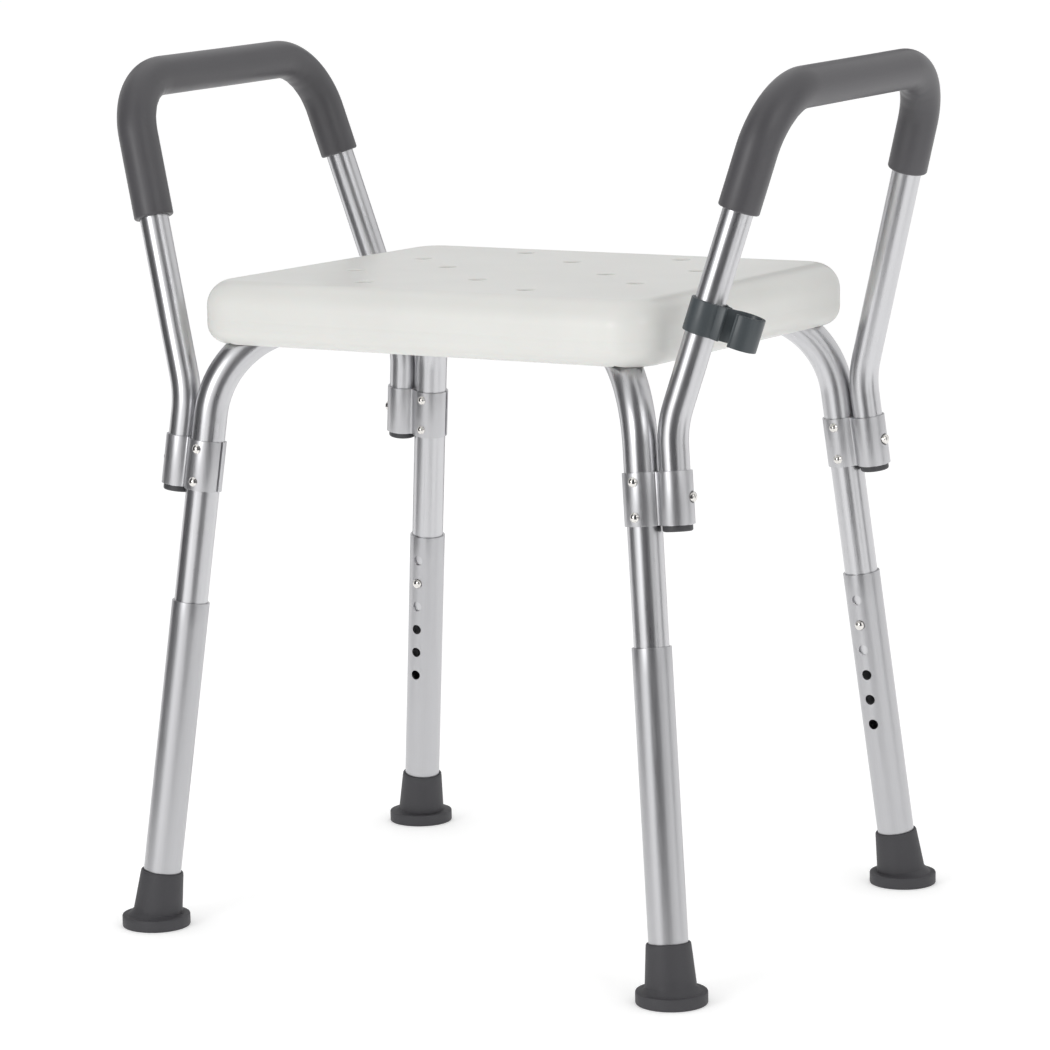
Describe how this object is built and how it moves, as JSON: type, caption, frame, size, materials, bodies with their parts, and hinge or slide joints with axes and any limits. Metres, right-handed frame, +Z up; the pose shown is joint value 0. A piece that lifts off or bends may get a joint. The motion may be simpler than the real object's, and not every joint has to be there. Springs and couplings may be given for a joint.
{
  "type": "shower stool",
  "caption": "Shower stool with a moulded seat drained by holes, lift-off padded armrests, telescoping height-adjustable legs, rubber feet and a swivelling hose clip.",
  "frame": {"origin": "on the floor under the centre of the seat", "axes": "+Z up, +X from the left arm to the sitter's right arm, +Y from the front edge of the seat to the rear"},
  "size_m": [0.5862, 0.432, 0.6608],
  "materials": {
    "seat": "blow-moulded white polyethylene, faint satin sheen",
    "tube": "brushed satin, brighter on the bends",
    "sleeve": "matt anodised with fine lengthwise grain",
    "fastener": "bright nickel plate",
    "spring": "plain spring steel",
    "insert": "turned brass",
    "rubber": "moulded dark grey rubber, matt",
    "foam": "closed-cell foam with a soft satin skin",
    "plug": "dark grey moulded plug",
    "clip": "slate grey moulded nylon"
  },
  "bodies": {
    "frame": {"seat": "seat", "leg_frame_a": "tube", "leg_frame_b": "tube", "cross_rivet": "spring", "seat_screws": "spring", "seat_washers": "spring", "seat_inserts": "insert", "bracket_fl": "sleeve", "bracket_fr": "sleeve", "bracket_rl": "sleeve", "bracket_rr": "sleeve", "bracket_rivets": "fastener", "leg_springs": "spring"},
    "arm_left": {"arm_tube_left": "tube", "arm_grip_left": "foam", "arm_plugs_left": "plug", "arm_springs_left": "spring"},
    "arm_right": {"arm_tube_right": "tube", "arm_grip_right": "foam", "arm_plugs_right": "plug", "arm_springs_right": "spring"},
    "clip": {"hose_clip": "clip"},
    "leg_fl": {"lower_leg_fl": "sleeve", "foot_fl": "rubber", "foot_washer_fl": "spring"},
    "leg_fr": {"lower_leg_fr": "sleeve", "foot_fr": "rubber", "foot_washer_fr": "spring"},
    "leg_rl": {"lower_leg_rl": "sleeve", "foot_rl": "rubber", "foot_washer_rl": "spring"},
    "leg_rr": {"lower_leg_rr": "sleeve", "foot_rr": "rubber", "foot_washer_rr": "spring"},
    "button_leg_fl": {"leg_button_fl": "fastener"},
    "button_leg_fr": {"leg_button_fr": "fastener"},
    "button_leg_rl": {"leg_button_rl": "fastener"},
    "button_leg_rr": {"leg_button_rr": "fastener"},
    "button_arm_fl": {"arm_button_fl": "fastener"},
    "button_arm_fr": {"arm_button_fr": "fastener"},
    "button_arm_rl": {"arm_button_rl": "fastener"},
    "button_arm_rr": {"arm_button_rr": "fastener"}
  },
  "joints": [
    {"name": "leg_fl_height", "type": "slide", "parent": "frame", "child": "leg_fl", "axis": [0.101, 0.0853, 0.9912], "range_m": [-0.02, 0.08], "deforming": ["leg_button_fl"]},
    {"name": "leg_fr_height", "type": "slide", "parent": "frame", "child": "leg_fr", "axis": [-0.101, 0.0853, 0.9912], "range_m": [-0.02, 0.08], "deforming": ["leg_button_fr"]},
    {"name": "leg_rl_height", "type": "slide", "parent": "frame", "child": "leg_rl", "axis": [0.101, -0.0853, 0.9912], "range_m": [-0.02, 0.08], "deforming": ["leg_button_rl"]},
    {"name": "leg_rr_height", "type": "slide", "parent": "frame", "child": "leg_rr", "axis": [-0.101, -0.0853, 0.9912], "range_m": [-0.02, 0.08], "deforming": ["leg_button_rr"]},
    {"name": "button_leg_fl_press", "type": "slide", "parent": "frame", "child": "button_leg_fl", "axis": [0.0043, -0.9963, 0.0853], "range_m": [0, 0.005], "stiffness_N_per_m": 2000, "springref_m": -0.001, "deforming": ["leg_springs"]},
    {"name": "button_leg_fr_press", "type": "slide", "parent": "frame", "child": "button_leg_fr", "axis": [-0.0043, -0.9963, 0.0853], "range_m": [0, 0.005], "stiffness_N_per_m": 2000, "springref_m": -0.001, "deforming": ["leg_springs"]},
    {"name": "button_leg_rl_press", "type": "slide", "parent": "frame", "child": "button_leg_rl", "axis": [0.0043, 0.9963, 0.0853], "range_m": [0, 0.005], "stiffness_N_per_m": 2000, "springref_m": -0.001, "deforming": ["leg_springs"]},
    {"name": "button_leg_rr_press", "type": "slide", "parent": "frame", "child": "button_leg_rr", "axis": [-0.0043, 0.9963, 0.0853], "range_m": [0, 0.005], "stiffness_N_per_m": 2000, "springref_m": -0.001, "deforming": ["leg_springs"]},
    {"name": "arm_left_lift", "type": "slide", "parent": "frame", "child": "arm_left", "axis": [0.1014, 0, 0.9948], "range_m": [0, 0.05], "deforming": ["arm_tube_left", "arm_plugs_left", "arm_button_fl", "arm_button_rl"]},
    {"name": "arm_right_lift", "type": "slide", "parent": "frame", "child": "arm_right", "axis": [-0.1014, 0, 0.9948], "range_m": [0, 0.05], "deforming": ["arm_tube_right", "arm_plugs_right", "arm_button_fr", "arm_button_rr"]},
    {"name": "button_arm_fl_press", "type": "slide", "parent": "arm_left", "child": "button_arm_fl", "axis": [0.989, -0.1171, -0.0907], "range_m": [0, 0.005], "stiffness_N_per_m": 2000, "springref_m": -0.001, "deforming": ["arm_springs_left"]},
    {"name": "button_arm_fr_press", "type": "slide", "parent": "arm_right", "child": "button_arm_fr", "axis": [-0.989, -0.1171, -0.0907], "range_m": [0, 0.005], "stiffness_N_per_m": 2000, "springref_m": -0.001, "deforming": ["arm_springs_right"]},
    {"name": "button_arm_rl_press", "type": "slide", "parent": "arm_left", "child": "button_arm_rl", "axis": [0.989, 0.1171, -0.0907], "range_m": [0, 0.005], "stiffness_N_per_m": 2000, "springref_m": -0.001, "deforming": ["arm_springs_left"]},
    {"name": "button_arm_rr_press", "type": "slide", "parent": "arm_right", "child": "button_arm_rr", "axis": [-0.989, 0.1171, -0.0907], "range_m": [0, 0.005], "stiffness_N_per_m": 2000, "springref_m": -0.001, "deforming": ["arm_springs_right"]},
    {"name": "clip_swivel", "type": "hinge", "parent": "arm_right", "child": "clip", "pos_m": [0.23084, -0.14305, 0.484], "axis": [0.2772, 0.1138, 0.9541], "range_deg": [-110, 110]}
  ]
}
